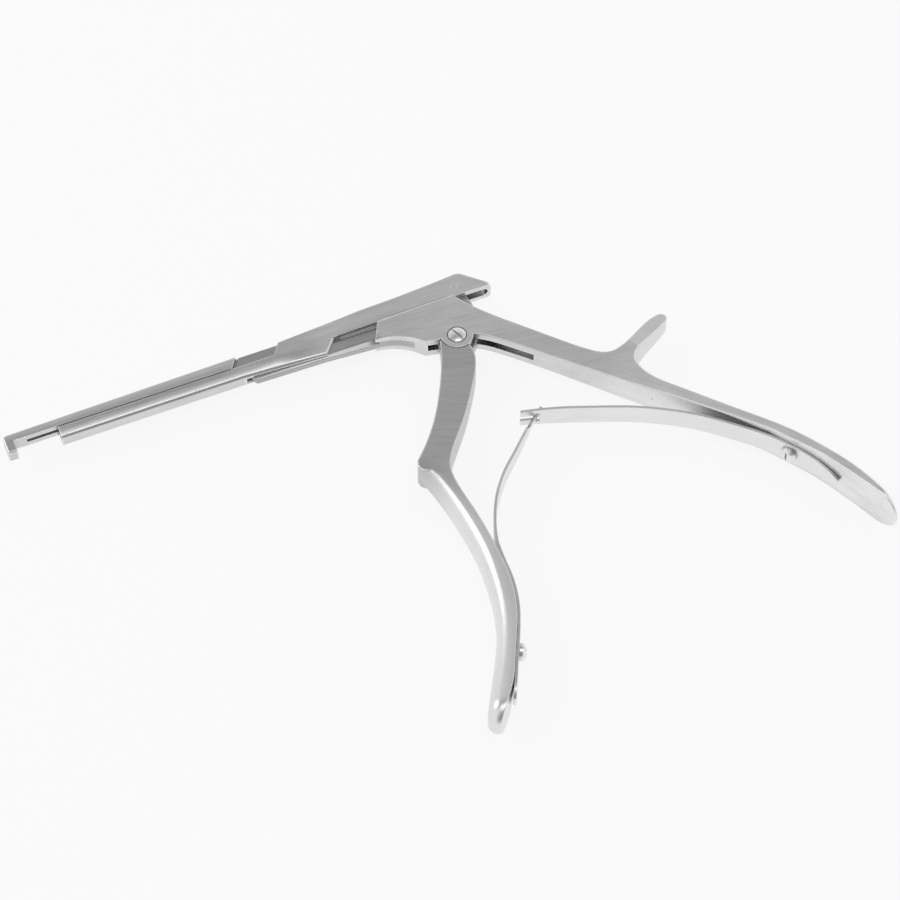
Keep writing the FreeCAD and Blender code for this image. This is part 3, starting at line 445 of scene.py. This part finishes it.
def leaf_mesh(name, path, plan, plan_start, plan_end, stations, columns, open_cells):
    """A leaf spring from cells: stations along it, columns across it, and the cells left open by its slot."""
    line = smooth_line(path)
    stations = [s for s in stations if s < line[-1][0] - 0.3] + [line[-1][0]]
    start, end = Vector(plan_start), Vector(plan_end)
    chord = (end - start).normalized()
    bm = bmesh.new()
    near, far = [], []
    for s in stations:
        p = point_on(line, s)
        way = heading_on(line, s)
        out = Vector((way.y, -way.x)) * LEAF_THICK
        half = plan_width(plan, (p - start).dot(chord))
        offsets = columns(half)
        near.append([bm.verts.new(at(p.x, p.y, z)) for z in offsets])
        far.append([bm.verts.new(at(p.x + out.x, p.y + out.y, z)) for z in offsets])
    rows, count = len(stations) - 1, len(near[0]) - 1

    def filled(i, j):
        return 0 <= i < rows and 0 <= j < count and not open_cells(0.5 * (stations[i] + stations[i + 1]), j)

    for i in range(rows):
        for j in range(count):
            if not filled(i, j):
                continue
            bm.faces.new((near[i][j], near[i][j + 1], near[i + 1][j + 1], near[i + 1][j]))
            bm.faces.new((far[i][j], far[i + 1][j], far[i + 1][j + 1], far[i][j + 1]))
            for (di, dj), (a, b) in (((-1, 0), ((i, j), (i, j + 1))), ((1, 0), ((i + 1, j), (i + 1, j + 1))),
                                     ((0, -1), ((i, j), (i + 1, j))), ((0, 1), ((i, j + 1), (i + 1, j + 1)))):
                if not filled(i + di, j + dj):
                    bm.faces.new((near[a[0]][a[1]], near[b[0]][b[1]], far[b[0]][b[1]], far[a[0]][a[1]]))
    bmesh.ops.delete(bm, geom=[v for v in bm.verts if not v.link_faces], context="VERTS")
    bmesh.ops.recalc_face_normals(bm, faces=bm.faces)
    mesh = bpy.data.meshes.new(name)
    bm.to_mesh(mesh)
    bm.free()
    for face in mesh.polygons:
        face.use_smooth = True
    obj = bpy.data.objects.new(name, mesh)
    bpy.context.scene.collection.objects.link(obj)
    bevel = obj.modifiers.new("broken edges", "BEVEL")
    bevel.width, bevel.segments, bevel.limit_method = LEAF_EDGE * MM, 2, "ANGLE"
    bevel.angle_limit, bevel.harden_normals = math.radians(40), True
    return obj


def rear_leaf(material):
    """The rear leaf: forked tip, free arch, clamped stretch and pointed end."""
    stations = [0.0, 0.5, 1.5, 2.5, 3.5, FORK_POCKET_START, FORK_SLOT_LENGTH] + [7.0 + 1.5 * k for k in range(70)]

    def columns(half):
        pocket, slot = min(FORK_POCKET_HALF, 0.6 * half), min(FORK_SLOT_HALF, 0.3 * half)
        return (-half, -pocket, -slot, slot, pocket, half)

    def opened(s, column):
        in_slot = column == 2 and s < FORK_SLOT_LENGTH
        in_pocket = column in (1, 3) and FORK_POCKET_START < s < FORK_SLOT_LENGTH
        return in_slot or in_pocket

    leaf = leaf_mesh("rear_leaf", REAR_PATH, REAR_PLAN, REAR_PATH[-1], REAR_PATH[0], stations, columns, opened)
    dress(leaf, material)
    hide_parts("rear_leaf_spring")
    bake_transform(leaf)


def front_leaf(material):
    """The front leaf: clamped end, free arch, and the tongue that passes the rear leaf's fork."""
    stations = [0.0, 0.8, 1.8, 3.0, 4.5] + [6.0 + 1.5 * k for k in range(80)]

    def columns(half):
        return (-half, -half / 3, half / 3, half)

    leaf = leaf_mesh("front_leaf", FRONT_PATH, FRONT_PLAN, FRONT_PATH[0], FRONT_PATH[-1], stations, columns,
                     lambda s, column: False)
    dress(leaf, material)
    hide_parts("front_leaf_spring")
    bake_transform(leaf)


def dress_pieces():
    shaft_end, body_start = at(-56, 16), at(-40, 14)
    anchor, pivot, pin = at(0, 0), at(0, 0), at(6.45, 17.8)
    shaft, body = (0.0, 90.0, 2200.0), (-5.0, 110.0, 1500.0)
    frame_steel = steel(
        "satin_frame", (0.66, 0.66, 0.665), (0.84, 0.84, 0.845), 0.22, 0.32,
        [(*shaft, 0.86, anchor, anchor), (*body, 0.92, shaft_end, body_start),
         # The rear handle's stretch is painted lighter, standing in for the light on its round side
         (-47.0, 60.0, 1100.0, 1.06, at(30, -24), at(48, -44))],
        quiet=[(pivot, 0.0030, 0.0036)], rings=[(pivot, 0.00262, 0.00292, 0.85)],
        lean=shaft_lean((at(0, 18.6), at(0, 14.9), -0.10, 0.13, at(-66, 0), at(-62, 0)),
                        (at(0, 10.4), at(0, 9.6), 0.0, 0.36, at(-25, 0), at(-20, 0))),
        # Painted shade darkens the recessed web and the notch near the middle plane
        middle_shade=(0.00125, at(-64.5, 0), at(-12, 0), 0.66),
        gaps_and_highlights=[(at(-118.4, 15.0), at(-65.5, 15.0), 0.00022, 0.85, 0.06),
               # The light line along the body's top edge is a painted highlight
               (at(-31, 14.0), at(4, 14.0), 0.00032, 0.9, 0.98)])
    slider_steel = steel(
        "satin_slider", (0.66, 0.66, 0.665), (0.82, 0.82, 0.825), 0.22, 0.32,
        [(*shaft, 0.90, anchor, anchor), (*body, 0.94, shaft_end, body_start)],
        quiet=[(pin, 0.0013, 0.0018)],
        lean=shaft_lean((at(0, 15.2), at(0, 11.2), 0.08, 0.34, at(-52, 0), at(-36, 0))),
        # Painted shade darkens the slot in the middle of the tail
        middle_shade=(0.00138, at(1, 0), at(14.8, 0), 0.45),
        gaps_and_highlights=[(at(-118.0, 14.86), at(-65.5, 14.86), 0.0002, 0.85, 0.06),
               (at(-32, 14.4), at(3, 15.0), 0.00022, 0.5, 0.2)])
    handle_steel = steel(
        "satin_front_handle", (0.68, 0.68, 0.685), (0.84, 0.84, 0.845), 0.24, 0.34,
        [(-23.0, 110.0, 1500.0, 0.68, anchor, anchor), (-75.0, 60.0, 900.0, 1.05, at(-25, -40), at(-24, -58))],
        rings=[(pivot, 0.0048, 0.00525, 0.7)], quiet=[(pivot, 0.0052, 0.0056)], edge_radius=0.0005,
        lean=grip_lean(at(-114.1, -66.7), 0.0900, 0.0957, 0.50, at(-26, -38), at(-27, -45)),
        polish=(at(-25, -40), at(-25, -50), 0.8))
    leaf_steel = steel(
        "satin_leaf", (0.76, 0.76, 0.76), (0.86, 0.86, 0.86), 0.26, 0.34,
        [(-30.0, 90.0, 2400.0, 1.0, anchor, anchor)], edge_radius=0.0001, edge_width=0.0003,
        cut_side=(0.70, 0.70, 0.70), recess_shade_share=0.3)
    screw_bright = steel(
        "turned_screws", (0.74, 0.74, 0.745), (0.88, 0.88, 0.88), 0.18, 0.26,
        [(20.0, 200.0, 3200.0, 1.0, anchor, anchor)], edge_radius=0.0001, edge_width=0.0003, reach=0.0012,
        recess_shade_share=0.9)
    pin_steel = steel(
        "ground_pin", (0.66, 0.66, 0.665), (0.82, 0.82, 0.825), 0.22, 0.32,
        [(*body, 0.94, anchor, anchor)], edge_highlight_share=0.0)
    dress(nodes["frame"], frame_steel)
    dress(nodes["slider"], slider_steel)
    dress(nodes["front_handle"], handle_steel)
    for name in ("pivot_screw", "rear_leaf_screw", "front_leaf_screw"):
        dress(nodes[name], screw_bright)
    dress(nodes["drive_pin"], pin_steel)
    rear_leaf(leaf_steel)
    front_leaf(leaf_steel)


# Stage, light and camera

def floor():
    """White paper that mostly glows where the camera or a reflection sees it, so it shows nearly white
    whatever the light, with only a faint shadow."""
    bm = bmesh.new()
    corners = [(-FLOOR_HALF, -FLOOR_HALF), (FLOOR_HALF, -FLOOR_HALF), (FLOOR_HALF, FLOOR_HALF),
               (-FLOOR_HALF, FLOOR_HALF)]
    bm.faces.new([bm.verts.new((x, y, cad_low.z)) for x, y in corners])
    mesh = bpy.data.meshes.new("floor")
    bm.to_mesh(mesh)
    bm.free()
    obj = bpy.data.objects.new("floor", mesh)
    bpy.context.scene.collection.objects.link(obj)
    material = bpy.data.materials.new("white_paper")
    material.use_nodes = True
    tree = material.node_tree
    tree.nodes.clear()
    paper = add(tree, "BsdfDiffuse", {"Color": (0.9, 0.9, 0.9, 1.0)})
    glow = add(tree, "Emission", {"Color": (1.0, 1.0, 1.0, 1.0), "Strength": 1.0})
    seen = add(tree, "LightPath")
    shown = combine(tree, "MAXIMUM", seen.outputs["Is Camera Ray"], seen.outputs["Is Glossy Ray"])
    shown = combine(tree, "MAXIMUM", shown, seen.outputs["Is Transmission Ray"])
    share = combine(tree, "MULTIPLY", shown, PAPER_GLOW)
    mixed = add(tree, "MixShader", {0: share, 1: paper.outputs[0], 2: glow.outputs[0]})
    output = add(tree, "OutputMaterial")
    tree.links.new(mixed.outputs[0], output.inputs["Surface"])
    dress(obj, material)


def area_light(name, azimuth, elevation, distance, width, height, power):
    """A soft box that looks at the middle of the instrument."""
    a, e = math.radians(azimuth), math.radians(elevation)
    back = Vector((math.sin(a) * math.cos(e), -math.cos(a) * math.cos(e), math.sin(e)))
    data = bpy.data.lights.new(name, "AREA")
    data.shape, data.size, data.size_y, data.energy = "RECTANGLE", width, height, power
    lamp = bpy.data.objects.new(name, data)
    bpy.context.scene.collection.objects.link(lamp)
    lamp.location = back * distance
    lamp.rotation_mode = "QUATERNION"
    lamp.rotation_quaternion = (-back).to_track_quat("-Z", "Y")


def studio_light():
    """A pale tent that the camera sees as plain white. Its grey goes by the angle from the far horizon over the
    top to the near one: bright low at the back and overhead, greyer between, darker towards the camera, and
    bright again at both sides."""
    world = bpy.data.worlds.new("studio")
    bpy.context.scene.world = world
    world.use_nodes = True
    tree = world.node_tree
    tree.nodes.clear()
    way = add(tree, "SeparateXYZ", {0: add(tree, "TexCoord").outputs["Generated"]})
    angle = combine(tree, "ARCTAN2", way.outputs["Z"], way.outputs["Y"])
    turn = remap(tree, angle, 0.0, math.pi, 0.0, 1.0)
    tent = add(tree, "ValToRGB", {0: turn})
    ramp = tent.color_ramp
    ramp.elements[0].position, ramp.elements[1].position = SKY_STOPS[0][0], SKY_STOPS[-1][0]
    for position, _ in SKY_STOPS[1:-1]:
        ramp.elements.new(position)
    for element, (position, level) in zip(ramp.elements, SKY_STOPS):
        element.position, element.color = position, (level, level, level, 1.0)
    sideways = combine(tree, "ABSOLUTE", way.outputs["X"], 0.0)
    side = remap(tree, sideways, 0.45, 0.85, 0.0, 1.0)
    level = blend_colours(tree, side, tent.outputs[0], SKY_SIDES)
    seen = add(tree, "LightPath")
    lit = add(tree, "Background", {"Color": level, "Strength": 1.0})
    white = add(tree, "Background", {"Color": (1.0, 1.0, 1.0, 1.0), "Strength": 1.0})
    mixed = add(tree, "MixShader", {0: seen.outputs["Is Camera Ray"], 1: lit.outputs[0], 2: white.outputs[0]})
    output = add(tree, "OutputWorld")
    tree.links.new(mixed.outputs[0], output.inputs["Surface"])
    area_light("left_softbox", -130, 33, 0.9, 0.35, 0.5, 0.8)
    area_light("top_softbox", 10, 83, 1.0, 0.5, 0.4, 0.6)


def camera():
    a, e = math.radians(CAMERA_AZIMUTH), math.radians(CAMERA_ELEVATION)
    right = Vector((math.cos(a), math.sin(a), 0.0))
    back = Vector((math.sin(a) * math.cos(e), -math.cos(a) * math.cos(e), math.sin(e)))
    up = back.cross(right)
    data = bpy.data.cameras.new("photo_camera")
    data.lens, data.sensor_width = CAMERA_LENS, 36.0
    data.clip_start, data.clip_end = 0.01, 20.0
    cam = bpy.data.objects.new("photo_camera", data)
    bpy.context.scene.collection.objects.link(cam)
    offset = back * CAMERA_DISTANCE - right * PIVOT_RIGHT_OF_MIDDLE - up * PIVOT_ABOVE_MIDDLE
    cam.location = at(0, 0, PIVOT_NEAR_FACE) + offset * MM
    cam.rotation_mode = "QUATERNION"
    cam.rotation_quaternion = (-back).to_track_quat("-Z", "Y")
    bpy.context.scene.camera = cam


bpy.context.scene.view_settings.view_transform = "Standard"
camera()
studio_light()
floor()
dress_pieces()
